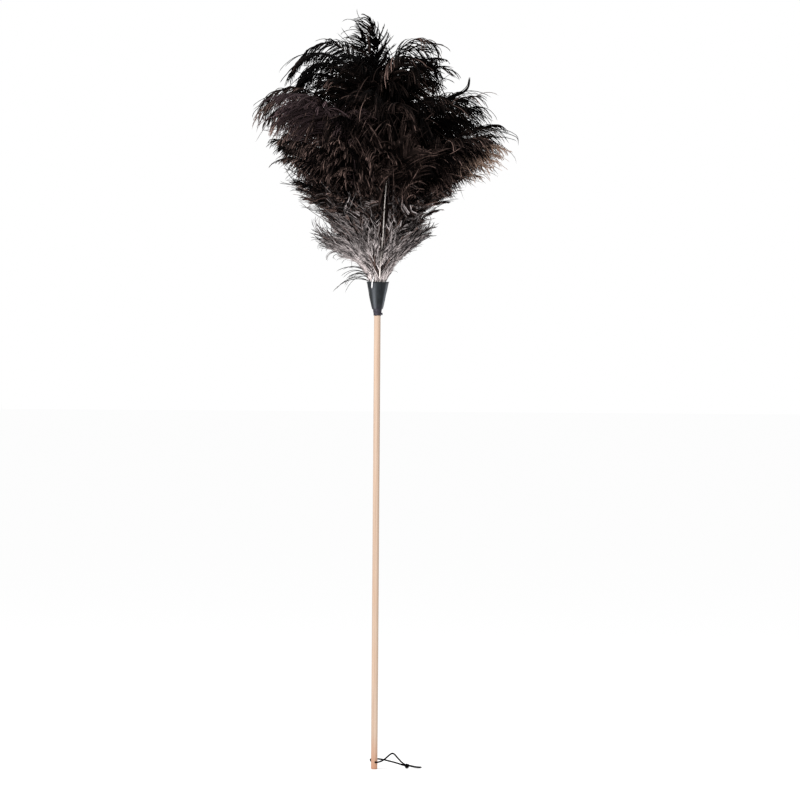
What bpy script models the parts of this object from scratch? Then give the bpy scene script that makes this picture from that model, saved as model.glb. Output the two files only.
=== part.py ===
"""Long-handled ostrich-feather duster: a wooden dowel, a head of plumes wired on in rings, a conical collar over
the bindings, and a hanging loop of thin cord through a hole at the butt.

Metres, +Z up. The origin is the centre of the dowel's butt end, and the plumes are at the top.
Azimuths are counted from +X towards +Y, so the front of the duster, which faces -Y, is at 270 degrees."""

import math

import bmesh
import bpy
from mathutils import Matrix, Vector

GAP = 0.0003
TUBE_BEVEL_RESOLUTION = 2

# Dowel
DOWEL_R = 0.00475
DOWEL_TOP = 0.705
BUTT_ROUNDING = 0.0020
DOWEL_SIDES = 32

# Cord hole across the butt, and the cord in it
HOLE_Z = 0.0104
HOLE_TURN = math.radians(24.0)
CORD_R = 0.0012
HOLE_R = CORD_R + 0.00035
CORD_POINTS = 48
FINE_STEPS = 20

# Knot and tails
KNOT_AT = (0.0525, 0.0, 0.0040)
KNOT_SIZE = (0.0078, 0.0068, 0.0074)
TAIL_LENGTH = 0.0180
TAIL_DROP = 0.0026
TAIL_SPREAD = 0.0006
FRONT_TAIL_LIFT = 0.0004
TAIL_POINTS = 8
LEATHER = (0.015, 0.014, 0.014)
LEATHER_ROUGHNESS = 0.55

# Collar: a cone of thin vinyl, and the turn of tape under its lower rim
COLLAR_TOP = 0.711
COLLAR_BOTTOM = 0.6715
COLLAR_TOP_R = 0.0157
COLLAR_BOTTOM_R = 0.0079
COLLAR_THICKNESS = 0.0008
COLLAR_LIP_HEIGHT = 0.003
COLLAR_LIP_FLARE = 0.0008
COLLAR_WAIST_SHARE = 0.45
COLLAR_WAIST_SWELL = 0.0035
COLLAR_HEM_HEIGHT = 0.003
COLLAR_HEM_SWELL = 0.0004
TAPE_BOTTOM = 0.662
TAPE_TOP = 0.675
TAPE_BOTTOM_R = 0.0059
TAPE_TOP_R = 0.00655
TAPE_STRAIGHT = 0.004
FLAP_SIZE = (0.0034, 0.0009, 0.0026)
FLAP_AZIMUTH = math.radians(-28.0)
FLAP_TURN = math.radians(35.0)
FLAP_OUT = 0.0009
FLAP_UP = 0.0030
TURNED_STEPS = 40

# Binding wires: height of the first turn and radius of the turns
WIRE_R = 0.0003
WIRE_PITCH = 0.00095
WIRE_TURNS = 3
WIRE_POINTS_A_TURN = 18
STEEL = (0.55, 0.55, 0.56)
STEEL_ROUGHNESS = 0.35
WIRES = (
    ("binding_wire_lower", 0.6830, 0.0076),
    ("binding_wire_middle", 0.6925, 0.0099),
    ("binding_wire_upper", 0.7040, 0.0127),
)

# Plumes: every one is a thin blade on a line that leaves the collar steeply, leans out and curls over at its tip
BLADE_THICKNESS = 0.0012
QUILL_HALF_WIDTH = 0.0007
STRAIGHT_ROWS = 4
CURL_ROWS = 6
STEPS_A_ROW = 8
MAIN_LEAN_AFTER = 0.05
CURL_POWER = 1.3
SECTOR_SHARE = 0.8
VANE_START = 0.12
VANE_SPAN = 0.80
VANE_FULLNESS = 0.7
DARK_BARBS = (0.018, 0.014, 0.013)
GREY_DOWN = (0.42, 0.38, 0.37)
PLUME_ROUGHNESS = 0.65
SHADE_CHANGE = 0.2
SHADE_STEP = 2.4

# One dictionary a tier, from the axis outwards. base is the radius and height of the quill's foot, foot_lean the lean
# inside the collar, vane_from the share of the length where the vane begins, half_width the vane's widest half, and
# sector the azimuth that each plume has to itself.
# Each plume is (azimuth, main lean, tip lean, share of the length where the curl begins, length in mm), in degrees.
TIERS = (
    {
        "name": "plume_core",
        "colour": DARK_BARBS,
        "base": (0.00575, 0.6770),
        "foot_lean": 1.0,
        "vane_from": 0.34,
        "half_width": 0.012,
        "sector": 45.0,
        "plumes": (
            (15, 3, 165, 0.76, 440),
            (60, 5, 95, 0.70, 408),
            (105, 4, 98, 0.72, 412),
            (150, 7, 150, 0.68, 452),
            (195, 1.5, 42, 0.72, 414),
            (240, 5, 98, 0.70, 405),
            (285, 4, 92, 0.70, 398),
            (330, 6, 112, 0.72, 412),
        ),
    },
    {
        "name": "plume_inner",
        "colour": DARK_BARBS,
        "base": (0.00575, 0.6770),
        "foot_lean": 2.5,
        "vane_from": 0.34,
        "half_width": 0.018,
        "sector": 45.0,
        "plumes": (
            (37.5, 16, 95, 0.62, 370),
            (82.5, 15, 92, 0.62, 368),
            (127.5, 16, 100, 0.62, 376),
            (172.5, 14, 135, 0.62, 410),
            (217.5, 16, 100, 0.62, 374),
            (262.5, 15, 92, 0.62, 362),
            (307.5, 16, 98, 0.62, 366),
            (352.5, 16, 85, 0.62, 358),
        ),
    },
    {
        "name": "plume_middle",
        "colour": DARK_BARBS,
        "base": (0.0079, 0.6890),
        "foot_lean": 4.0,
        "vane_from": 0.32,
        "half_width": 0.022,
        "sector": 36.0,
        "plumes": (
            (0, 26, 78, 0.58, 312),
            (36, 27, 92, 0.56, 300),
            (72, 27, 90, 0.56, 298),
            (108, 27, 94, 0.56, 300),
            (144, 27, 90, 0.56, 302),
            (180, 24, 86, 0.58, 288),
            (216, 27, 96, 0.56, 300),
            (252, 27, 92, 0.56, 296),
            (288, 27, 94, 0.56, 296),
            (324, 26, 90, 0.56, 300),
        ),
    },
    {
        "name": "plume_outer",
        "colour": DARK_BARBS,
        "base": (0.0079, 0.6890),
        "foot_lean": 4.5,
        "vane_from": 0.3,
        "half_width": 0.024,
        "sector": 36.0,
        "plumes": (
            (18, 37, 80, 0.5, 188),
            (54, 38, 92, 0.5, 220),
            (90, 38, 88, 0.5, 216),
            (126, 38, 92, 0.5, 220),
            (162, 30, 76, 0.5, 215),
            (198, 30, 76, 0.5, 212),
            (234, 38, 92, 0.5, 218),
            (270, 38, 88, 0.5, 212),
            (306, 38, 92, 0.5, 216),
            (342, 31, 112, 0.58, 315),
        ),
    },
    {
        "name": "plume_base",
        "colour": GREY_DOWN,
        "base": (0.0107, 0.7005),
        "foot_lean": 8.0,
        "vane_from": 0.3,
        "half_width": 0.013,
        "sector": 30.0,
        "plumes": (
            (15, 42, 58, 0.5, 100),
            (45, 49, 72, 0.5, 118),
            (75, 49, 70, 0.5, 120),
            (105, 50, 72, 0.5, 124),
            (135, 51, 74, 0.5, 124),
            (165, 52, 76, 0.5, 124),
            (195, 53, 78, 0.5, 120),
            (225, 50, 72, 0.5, 120),
            (255, 47, 62, 0.5, 118),
            (285, 45, 58, 0.5, 124),
            (315, 46, 62, 0.5, 114),
            (345, 45, 62, 0.5, 100),
        ),
    },
)


def clear_scene():
    for obj in list(bpy.data.objects):
        bpy.data.objects.remove(obj, do_unlink=True)


def new_collection(name):
    collection = bpy.data.collections.new(name)
    bpy.context.scene.collection.children.link(collection)
    return collection


def new_material(name, colour, roughness, metallic=0.0):
    material = bpy.data.materials.new(name)
    material.use_nodes = True
    shader = material.node_tree.nodes["Principled BSDF"]
    shader.inputs["Base Color"].default_value = (*colour, 1.0)
    shader.inputs["Roughness"].default_value = roughness
    shader.inputs["Metallic"].default_value = metallic
    return material


def add_object(name, data, collection, material=None):
    obj = bpy.data.objects.new(name, data)
    collection.objects.link(obj)
    if material:
        data.materials.append(material)
    return obj


def mesh_from(bm, name):
    bmesh.ops.recalc_face_normals(bm, faces=bm.faces)
    mesh = bpy.data.meshes.new(name)
    bm.to_mesh(mesh)
    bm.free()
    return mesh


def smooth(obj, angle=math.radians(40.0)):
    obj.data.shade_smooth()
    obj.data.set_sharp_from_angle(angle=angle)


def add_boolean(obj, cutter, operation):
    modifier = obj.modifiers.new(operation.lower(), "BOOLEAN")
    modifier.operation = operation
    modifier.object = cutter


def as_cutter(obj):
    obj.hide_render = True
    obj.display_type = "WIRE"
    return obj


def add_turned(name, profile, collection, material):
    """A shell turned round Z from an open profile of (radius, height), top to bottom."""
    mesh = bpy.data.meshes.new(name)
    mesh.from_pydata([(r, 0.0, z) for r, z in profile], [(i, i + 1) for i in range(len(profile) - 1)], [])
    obj = add_object(name, mesh, collection, material)
    screw = obj.modifiers.new("turn", "SCREW")
    screw.axis = "Z"
    screw.steps = TURNED_STEPS
    screw.render_steps = TURNED_STEPS
    screw.use_merge_vertices = True
    screw.merge_threshold = 0.00001
    screw.use_smooth_shade = True
    return obj


def add_tube(name, points, radius, collection, material):
    """A round tube with filled ends along a run of points."""
    curve = bpy.data.curves.new(name, "CURVE")
    curve.dimensions = "3D"
    curve.bevel_depth = radius
    curve.bevel_resolution = TUBE_BEVEL_RESOLUTION
    curve.use_fill_caps = True
    spline = curve.splines.new("POLY")
    spline.points.add(len(points) - 1)
    for point, place in zip(spline.points, points):
        point.co = (*place, 1.0)
    return add_object(name, curve, collection, material)


# ---- Dowel ----------------------------------------------------------------------------------------------------------


def add_dowel(parts, cutters, material):
    bm = bmesh.new()
    centre = Matrix.Translation((0.0, 0.0, DOWEL_TOP / 2))
    bmesh.ops.create_cone(
        bm, cap_ends=True, segments=DOWEL_SIDES, radius1=DOWEL_R, radius2=DOWEL_R, depth=DOWEL_TOP, matrix=centre
    )
    butt_rim = [e for e in bm.edges if all(v.co.z < DOWEL_TOP / 2 for v in e.verts)]
    bmesh.ops.bevel(bm, geom=butt_rim, offset=BUTT_ROUNDING, segments=3, profile=0.5, affect="EDGES")
    dowel = add_object("handle_dowel", mesh_from(bm, "handle_dowel"), parts, material)
    smooth(dowel)

    bm = bmesh.new()
    along_bore = Matrix.Translation((0.0, 0.0, HOLE_Z)) @ Matrix.Rotation(HOLE_TURN, 4, "Z")
    bmesh.ops.create_cone(
        bm,
        cap_ends=True,
        segments=16,
        radius1=HOLE_R,
        radius2=HOLE_R,
        depth=4 * DOWEL_R,
        matrix=along_bore @ Matrix.Rotation(math.pi / 2, 4, "X"),
    )
    cutter = as_cutter(add_object("cord_hole", mesh_from(bm, "cord_hole"), cutters))
    add_boolean(dowel, cutter, "DIFFERENCE")
    return dowel


# ---- Hanging loop ---------------------------------------------------------------------------------------------------


def smooth_route(route, count):
    """Evenly spaced points on a smooth curve through the points of a route."""
    knots = [2 * route[0] - route[1], *route, 2 * route[-1] - route[-2]]
    fine = []
    for a, b, c, d in zip(knots, knots[1:], knots[2:], knots[3:]):
        for step in range(FINE_STEPS):
            t = step / FINE_STEPS
            fine.append(
                0.5 * (2 * b + (c - a) * t + (2 * a - 5 * b + 4 * c - d) * t**2 + (3 * b - a - 3 * c + d) * t**3)
            )
    fine.append(route[-1])
    reach = [0.0]
    for a, b in zip(fine, fine[1:]):
        reach.append(reach[-1] + (b - a).length)
    points = []
    i = 0
    for n in range(count):
        target = reach[-1] * n / (count - 1)
        while i < len(fine) - 2 and reach[i + 1] < target:
            i += 1
        share = (target - reach[i]) / (reach[i + 1] - reach[i])
        points.append(fine[i].lerp(fine[i + 1], min(max(share, 0.0), 1.0)))
    return points


def swing_place(out, along, height):
    """A place given by how far it is out from the bore, how far along the bore's axis to the front, and its height."""
    sideways = Vector((math.cos(HOLE_TURN), math.sin(HOLE_TURN), 0.0)) * out
    frontwards = Vector((math.sin(HOLE_TURN), -math.cos(HOLE_TURN), 0.0)) * along
    return sideways + frontwards + Vector((0.0, 0.0, height))


# From the knot by the upper, front strand to the hole, through it, and back to the knot by the lower, rear strand.
# Each point is (out, along, height) as swing_place takes them.
LOOP_ROUTE = (
    (0.0482, 0.0016, 0.0062),
    (0.0443, 0.0026, 0.0084),
    (0.0408, 0.0035, 0.0111),
    (0.0340, 0.0050, 0.0174),
    (0.0298, 0.0059, 0.0215),
    (0.0262, 0.0066, 0.0230),
    (0.0223, 0.0074, 0.0219),
    (0.0168, 0.0088, 0.0182),
    (0.0112, 0.0100, 0.0145),
    (0.0067, 0.0103, 0.0123),
    (0.0027, 0.0089, 0.0109),
    (0.0004, 0.0062, 0.0104),
    (0.0000, 0.0035, 0.0104),
    (0.0000, 0.0000, 0.0104),
    (0.0000, -0.0035, 0.0104),
    (-0.0003, -0.0061, 0.0106),
    (-0.0010, -0.0089, 0.0115),
    (-0.0009, -0.0118, 0.0129),
    (0.0012, -0.0142, 0.0141),
    (0.0050, -0.0150, 0.0146),
    (0.0112, -0.0137, 0.0143),
    (0.0186, -0.0115, 0.0134),
    (0.0240, -0.0098, 0.0121),
    (0.0380, -0.0056, 0.0083),
    (0.0446, -0.0030, 0.0060),
    (0.0482, -0.0016, 0.0049),
)


def add_loop(parts):
    """The cord, its knot and its two tails, under an empty on the hole's axis, where the loop swings."""
    pivot = bpy.data.objects.new("loop_pivot", None)
    pivot.location = (0.0, 0.0, HOLE_Z)
    parts.objects.link(pivot)

    route = [swing_place(*place) for place in LOOP_ROUTE]
    leather = new_material("hang_cord_leather", LEATHER, LEATHER_ROUGHNESS)
    cord = add_tube("hang_cord", smooth_route(route, CORD_POINTS), CORD_R, parts, leather)

    bm = bmesh.new()
    bmesh.ops.create_uvsphere(bm, u_segments=14, v_segments=10, radius=0.5)
    bmesh.ops.scale(bm, vec=KNOT_SIZE, verts=bm.verts)
    knot_leather = new_material("hang_knot_leather", LEATHER, LEATHER_ROUGHNESS)
    knot = add_object("hang_knot", mesh_from(bm, "hang_knot"), parts, knot_leather)
    knot.matrix_world = Matrix.Translation(swing_place(*KNOT_AT)) @ Matrix.Rotation(HOLE_TURN, 4, "Z")
    smooth(knot)

    tails = []
    tail_start = KNOT_AT[0] + KNOT_SIZE[0] / 2 + GAP
    for name, side, lift in (("cord_tail_front", 1.0, FRONT_TAIL_LIFT), ("cord_tail_back", -1.0, 0.0)):
        points = []
        for i in range(TAIL_POINTS):
            t = i / (TAIL_POINTS - 1)
            along = side * (CORD_R + GAP + TAIL_SPREAD * t * t)
            height = KNOT_AT[2] + lift - TAIL_DROP * math.sin(math.pi / 2 * t)
            points.append(swing_place(tail_start + TAIL_LENGTH * t, along, height))
        tail_leather = new_material(f"{name}_leather", LEATHER, LEATHER_ROUGHNESS)
        tails.append(add_tube(name, points, CORD_R, parts, tail_leather))

    bpy.context.view_layer.update()
    for obj in (cord, knot, *tails):
        obj.parent = pivot
        obj.matrix_parent_inverse = pivot.matrix_world.inverted()


# ---- Collar, tape and wires -----------------------------------------------------------------------------------------


def add_shell_thickness(obj, thickness):
    solidify = obj.modifiers.new("thickness", "SOLIDIFY")
    solidify.thickness = thickness
    solidify.offset = -1.0


def add_collar(parts, material):
    height = COLLAR_TOP - COLLAR_BOTTOM
    profile = [
        (COLLAR_TOP_R, COLLAR_TOP),
        (COLLAR_TOP_R - COLLAR_LIP_FLARE, COLLAR_TOP - COLLAR_LIP_HEIGHT),
        (COLLAR_BOTTOM_R + COLLAR_WAIST_SWELL, COLLAR_BOTTOM + height * COLLAR_WAIST_SHARE),
        (COLLAR_BOTTOM_R + COLLAR_HEM_SWELL, COLLAR_BOTTOM + COLLAR_HEM_HEIGHT),
        (COLLAR_BOTTOM_R, COLLAR_BOTTOM),
    ]
    collar = add_turned("collar", profile, parts, material)
    add_shell_thickness(collar, COLLAR_THICKNESS)


def add_tape(parts, cutters, material):
    inner = DOWEL_R + GAP
    profile = [
        (inner, TAPE_TOP),
        (TAPE_TOP_R, TAPE_TOP),
        (TAPE_TOP_R, TAPE_TOP - TAPE_STRAIGHT),
        (TAPE_BOTTOM_R, TAPE_BOTTOM),
        (inner, TAPE_BOTTOM),
        (inner, TAPE_TOP),
    ]
    tape = add_turned("collar_tape", profile, parts, material)

    bm = bmesh.new()
    bmesh.ops.create_cube(bm, size=1.0)
    bmesh.ops.scale(bm, vec=FLAP_SIZE, verts=bm.verts)
    flap = as_cutter(add_object("tape_loose_end", mesh_from(bm, "tape_loose_end"), cutters))
    out = Vector((math.cos(FLAP_AZIMUTH), math.sin(FLAP_AZIMUTH), 0.0)) * (TAPE_BOTTOM_R + FLAP_OUT)
    flap.location = out + Vector((0.0, 0.0, TAPE_BOTTOM + FLAP_UP))
    flap.rotation_euler = (0.0, 0.0, FLAP_AZIMUTH + FLAP_TURN)
    add_boolean(tape, flap, "UNION")


def add_wires(parts):
    count = WIRE_TURNS * WIRE_POINTS_A_TURN + 1
    for name, low, radius in WIRES:
        points = []
        for i in range(count):
            turn = i / WIRE_POINTS_A_TURN
            angle = 2 * math.pi * turn
            points.append((radius * math.cos(angle), radius * math.sin(angle), low + WIRE_PITCH * turn))
        add_tube(name, points, WIRE_R, parts, new_material(f"{name}_steel", STEEL, STEEL_ROUGHNESS, 1.0))


# ---- Plumes ---------------------------------------------------------------------------------------------------------


def ease(t):
    t = min(max(t, 0.0), 1.0)
    return t * t * (3 - 2 * t)


def plume_rows(tier, main_lean, tip_lean, curl_from, length):
    """(share of the length, radius, height) of a plume's rows: its foot, the collar's mouth, and on to its tip.

    The quill is straight up to the mouth. From there it leans out, and it curls over in its last part."""
    r, z = tier["base"]
    foot_lean = tier["foot_lean"]
    in_collar = (COLLAR_TOP - z) / math.cos(math.radians(foot_lean))
    rows = [(0.0, r, z)]
    r += in_collar * math.sin(math.radians(foot_lean))
    z = COLLAR_TOP
    rows.append((in_collar / length, r, z))
    curl_at = curl_from * length
    stretches = ((in_collar, curl_at, STRAIGHT_ROWS), (curl_at, length, CURL_ROWS))
    for start, end, row_count in stretches:
        step = (end - start) / (row_count * STEPS_A_ROW)
        for i in range(row_count * STEPS_A_ROW):
            s = start + (i + 0.5) * step
            curl = max(0.0, (s - curl_at) / (length - curl_at)) ** CURL_POWER
            lean = foot_lean + (main_lean - foot_lean) * ease((s - in_collar) / MAIN_LEAN_AFTER)
            lean = math.radians(lean + (tip_lean - main_lean) * curl)
            r += step * math.sin(lean)
            z += step * math.cos(lean)
            if (i + 1) % STEPS_A_ROW == 0:
                rows.append(((start + (i + 1) * step) / length, r, z))
    return rows


def half_width_at(t, radius, tier):
    """Half the blade's width: a narrow quill, then a vane that swells and rounds off, inside its own sector."""
    if t <= tier["vane_from"]:
        return QUILL_HALF_WIDTH
    along = (t - tier["vane_from"]) / (1 - tier["vane_from"])
    vane = tier["half_width"] * math.sin(math.pi * (VANE_START + VANE_SPAN * along)) ** VANE_FULLNESS
    room = SECTOR_SHARE * radius * math.radians(tier["sector"] / 2)
    return max(QUILL_HALF_WIDTH, min(vane, room))


def add_plume(name, tier, plume, parts, material):
    azimuth, main_lean, tip_lean, curl_from, length_mm = plume
    middle = math.radians(azimuth)
    bm = bmesh.new()
    rows = []
    for t, r, z in plume_rows(tier, main_lean, tip_lean, curl_from, length_mm / 1000):
        spread = half_width_at(t, r, tier) / r
        row = []
        for side in (-1, 0, 1):
            angle = middle + side * spread
            row.append(bm.verts.new((r * math.cos(angle), r * math.sin(angle), z)))
        rows.append(row)
    for low, high in zip(rows, rows[1:]):
        for i in range(2):
            bm.faces.new((low[i], low[i + 1], high[i + 1], high[i]))
    obj = add_object(name, mesh_from(bm, name), parts, material)
    solidify = obj.modifiers.new("thickness", "SOLIDIFY")
    solidify.thickness = BLADE_THICKNESS
    solidify.offset = 0.0
    obj.data.shade_smooth()


def add_plumes(parts):
    """Every plume has its own material: its tier's colour, a little browner or blacker from one plume to the next."""
    for tier in TIERS:
        for number, plume in enumerate(tier["plumes"], start=1):
            name = f"{tier['name']}_{number:02d}"
            shade = 1.0 + SHADE_CHANGE * math.sin(SHADE_STEP * number)
            material = new_material(f"{name}_barbs", [c * shade for c in tier["colour"]], PLUME_ROUGHNESS)
            add_plume(name, tier, plume, parts, material)


def main():
    clear_scene()
    parts = new_collection("feather_duster")
    cutters = new_collection("cutters")
    wood = new_material("pale_wood", (0.80, 0.60, 0.44), 0.5)
    vinyl = new_material("collar_vinyl", (0.035, 0.042, 0.050), 0.4)
    tape = new_material("collar_tape", (0.030, 0.034, 0.042), 0.45)

    add_dowel(parts, cutters, wood)
    add_loop(parts)
    add_collar(parts, vinyl)
    add_tape(parts, cutters, tape)
    add_wires(parts)
    add_plumes(parts)


main()
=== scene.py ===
"""Looks of a long-handled ostrich-feather duster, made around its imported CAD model.

Metres, +Z up, the duster standing on its butt, the plumes at the top and its front towards -Y.
Every plume is one piece: a rachis on the CAD plume's own line, its companions' beside it, and barbs that
leave them on both sides in locks, droop and curl. The dowel, collar, tape, cord and knot are finer pieces in
the places of the CAD parts."""

import math

import bmesh
import bpy
import numpy as np
from mathutils import Matrix, Vector


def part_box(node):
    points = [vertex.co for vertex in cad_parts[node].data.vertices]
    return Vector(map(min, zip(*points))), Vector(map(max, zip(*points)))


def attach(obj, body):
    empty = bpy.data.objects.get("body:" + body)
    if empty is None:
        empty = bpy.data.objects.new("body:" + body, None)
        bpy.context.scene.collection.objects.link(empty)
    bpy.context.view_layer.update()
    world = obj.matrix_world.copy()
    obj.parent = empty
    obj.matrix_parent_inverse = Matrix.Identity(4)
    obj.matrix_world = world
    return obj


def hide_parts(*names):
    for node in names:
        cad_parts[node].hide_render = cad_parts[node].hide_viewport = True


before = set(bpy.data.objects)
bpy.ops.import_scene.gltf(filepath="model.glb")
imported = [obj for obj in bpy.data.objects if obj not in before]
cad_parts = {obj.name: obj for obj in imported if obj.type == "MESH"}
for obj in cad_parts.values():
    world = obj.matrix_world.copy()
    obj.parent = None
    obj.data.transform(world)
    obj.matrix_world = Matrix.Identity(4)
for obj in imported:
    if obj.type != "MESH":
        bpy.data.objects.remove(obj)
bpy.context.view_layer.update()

BODY = "duster"
LOOP = "hang_loop"

# Camera and light
LENS = 300.0
SENSOR = 36.0
CAMERA_DISTANCE = 9.727
CAMERA_X = 0.0339
CAMERA_Z = 0.539
CAMERA_ROLL = math.radians(-0.4)
WORLD_LIGHT = 1.0
KEY_PLACE = (-1.4, -2.7, 1.6)
KEY_SIZE = 1.2
KEY_POWER = 96.0
KEY_AIM = (0.0, 0.0, 0.7)
FLOOR_SIZE = 600.0


def add_camera():
    data = bpy.data.cameras.new("camera")
    data.lens = LENS
    data.sensor_width = SENSOR
    camera = link("camera", data)
    camera.location = (CAMERA_X, -CAMERA_DISTANCE, CAMERA_Z)
    camera.rotation_euler = (math.pi / 2, CAMERA_ROLL, 0.0)
    bpy.context.scene.camera = camera


def link(name, data, material=None):
    """A new object of the scene with that data and material."""
    obj = bpy.data.objects.new(name, data)
    bpy.context.scene.collection.objects.link(obj)
    if material:
        data.materials.append(material)
    return obj


def mesh_from(name, bm):
    """A mesh of that name from a bmesh, which is freed."""
    mesh = bpy.data.meshes.new(name)
    bm.to_mesh(mesh)
    bm.free()
    return mesh


def seat(obj, body, slot, *nodes):
    """obj stands in for CAD nodes on a body: it is attached to the body and they are hidden; slot is not
    used.
    """
    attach(obj, body)
    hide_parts(*nodes)
    return obj


# ---- Materials -------------------------------


class Looks:
    """A material's node tree, with short ways to add nodes to it."""

    def __init__(self, name):
        self.material = bpy.data.materials.new(name)
        self.material.use_nodes = True
        self.tree = self.material.node_tree
        self.shader = self.tree.nodes["Principled BSDF"]

    def set(self, **values):
        for name, value in values.items():
            self.shader.inputs[name.replace("_", " ")].default_value = value

    def join(self, output, socket):
        self.tree.links.new(output, socket)

    def place(self, scale):
        """Object coordinates, stretched by scale along each axis."""
        coordinates = self.tree.nodes.new("ShaderNodeTexCoord")
        mapping = self.tree.nodes.new("ShaderNodeMapping")
        mapping.inputs["Scale"].default_value = scale
        self.join(coordinates.outputs["Object"], mapping.inputs["Vector"])
        return mapping.outputs["Vector"]

    def noise(self, scale, detail=3.0, roughness=0.5, distortion=0.0):
        """Noise from 0 to 1; scale is the number of its cells a metre along each axis."""
        node = self.tree.nodes.new("ShaderNodeTexNoise")
        node.inputs["Scale"].default_value = 1.0
        node.inputs["Detail"].default_value = detail
        node.inputs["Roughness"].default_value = roughness
        node.inputs["Distortion"].default_value = distortion
        self.join(self.place(scale), node.inputs["Vector"])
        return node.outputs["Fac"]

    def ramp(self, value, stops):
        """Colours over a value: stops are (place, colour)."""
        node = self.tree.nodes.new("ShaderNodeValToRGB")
        while len(node.color_ramp.elements) < len(stops):
            node.color_ramp.elements.new(1.0)
        for element, (at, colour) in zip(node.color_ramp.elements, stops):
            element.position = at
            element.color = (*colour, 1.0)
        self.join(value, node.inputs["Fac"])
        return node.outputs["Color"]

    def levels(self, value, low, high, to_low=0.0, to_high=1.0):
        """value spread from low..high to to_low..to_high, and held inside them."""
        node = self.tree.nodes.new("ShaderNodeMapRange")
        for name, number in (("From Min", low), ("From Max", high), ("To Min", to_low), ("To Max", to_high)):
            node.inputs[name].default_value = number
        self.join(value, node.inputs["Value"])
        return node.outputs["Result"]

    def mix(self, share, first, second, blend="MIX"):
        """Two colours, each an output or three numbers, mixed by an output or a number."""
        node = self.tree.nodes.new("ShaderNodeMix")
        node.data_type = "RGBA"
        node.blend_type = blend
        for value, socket in ((share, node.inputs[0]), (first, node.inputs[6]), (second, node.inputs[7])):
            if isinstance(value, bpy.types.NodeSocket):
                self.join(value, socket)
            elif isinstance(value, (int, float)):
                socket.default_value = value
            else:
                socket.default_value = (*value, 1.0)
        return node.outputs[2]

    def axis(self, which):
        """The X, Y or Z of the object coordinates, in metres."""
        node = self.tree.nodes.new("ShaderNodeSeparateXYZ")
        self.join(self.place((1.0, 1.0, 1.0)), node.inputs[0])
        return node.outputs[which]

    def bump(self, height, strength, distance):
        node = self.tree.nodes.new("ShaderNodeBump")
        node.inputs["Strength"].default_value = strength
        node.inputs["Distance"].default_value = distance
        self.join(height, node.inputs["Height"])
        self.join(node.outputs["Normal"], self.shader.inputs["Normal"])

    def colour(self, output):
        self.join(output, self.shader.inputs["Base Color"])

    def roughness(self, output):
        self.join(output, self.shader.inputs["Roughness"])


# Heights between which the wood grows darker towards its butt, and the collar mauve towards its foot
BUTT_STAIN_HEIGHTS = (0.050, 0.003)
FOOT_PATCH_HEIGHTS = (0.681, 0.668)


def wood_looks():
    """Pale close-grained wood, darker and redder near the butt."""
    looks = Looks("pale_wood")
    grain = looks.noise((620.0, 620.0, 9.0), detail=5.0, roughness=0.65, distortion=0.4)
    streaks = looks.noise((210.0, 210.0, 3.2), detail=3.0, roughness=0.55)
    blotches = looks.noise((30.0, 30.0, 14.0), detail=2.0)
    grain_stops = [(0.30, (0.29, 0.185, 0.13)), (0.52, (0.42, 0.31, 0.235)), (0.75, (0.49, 0.385, 0.31))]
    fine = looks.ramp(grain, grain_stops)
    broad = looks.ramp(streaks, [(0.32, (0.33, 0.225, 0.165)), (0.60, (0.47, 0.355, 0.275))])
    both = looks.mix(0.5, fine, broad)
    aged = looks.mix(looks.levels(blotches, 0.45, 0.75, 0.0, 0.35), both, (0.44, 0.28, 0.18))
    near_butt = looks.levels(looks.axis("Z"), *BUTT_STAIN_HEIGHTS, 0.0, 0.7)
    looks.colour(looks.mix(near_butt, aged, (0.38, 0.17, 0.095)))
    looks.roughness(looks.levels(grain, 0.3, 0.8, 0.62, 0.42))
    looks.bump(grain, 0.35, 0.00025)
    looks.set(Specular_IOR_Level=0.2)
    return looks.material


def vinyl_looks(name, dark, light, patch_share):
    """Thin imitation leather: pebbled, with a painted highlight in the light colour where the mesh's
    attribute asks for it, and a mauve patch near its lower end.
    """
    looks = Looks(name)
    pebbles = looks.tree.nodes.new("ShaderNodeTexVoronoi")
    pebbles.inputs["Scale"].default_value = 1.0
    looks.join(looks.place((1500.0, 1500.0, 1250.0)), pebbles.inputs["Vector"])
    # Painted highlight: an attribute of the mesh mixes in the light colour where the key light falls.
    painted_highlight = looks.tree.nodes.new("ShaderNodeAttribute")
    painted_highlight.attribute_name = "painted_highlight"
    fine = looks.noise((900.0, 900.0, 900.0), detail=4.0)
    scuffs = looks.noise((240.0, 240.0, 120.0), detail=4.0, roughness=0.6)
    ground = looks.ramp(scuffs, [(0.38, dark), (0.62, tuple(2.2 * c for c in dark))])
    highlighted = looks.mix(painted_highlight.outputs["Fac"], ground, light)
    mottled = looks.mix(looks.levels(pebbles.outputs["Distance"], 0.1, 0.7, 0.0, 0.35), highlighted, dark)
    low = looks.levels(looks.axis("Z"), *FOOT_PATCH_HEIGHTS, 0.0, patch_share)
    looks.colour(looks.mix(low, mottled, (0.032, 0.025, 0.036)))
    looks.roughness(looks.levels(fine, 0.3, 0.7, 0.30, 0.50))
    looks.bump(pebbles.outputs["Distance"], 0.5, 0.00018)
    looks.set(Specular_IOR_Level=0.14)
    return looks.material


def cord_looks():
    looks = Looks("waxed_cord")
    fibres = looks.noise((1500.0, 1500.0, 1500.0), detail=4.0, roughness=0.6)
    looks.colour(looks.ramp(fibres, [(0.35, (0.0008, 0.0008, 0.001)), (0.7, (0.0045, 0.0042, 0.0042))]))
    looks.roughness(looks.levels(fibres, 0.3, 0.7, 0.45, 0.65))
    looks.bump(fibres, 0.4, 0.0002)
    looks.set(Specular_IOR_Level=0.01)
    return looks.material


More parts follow.
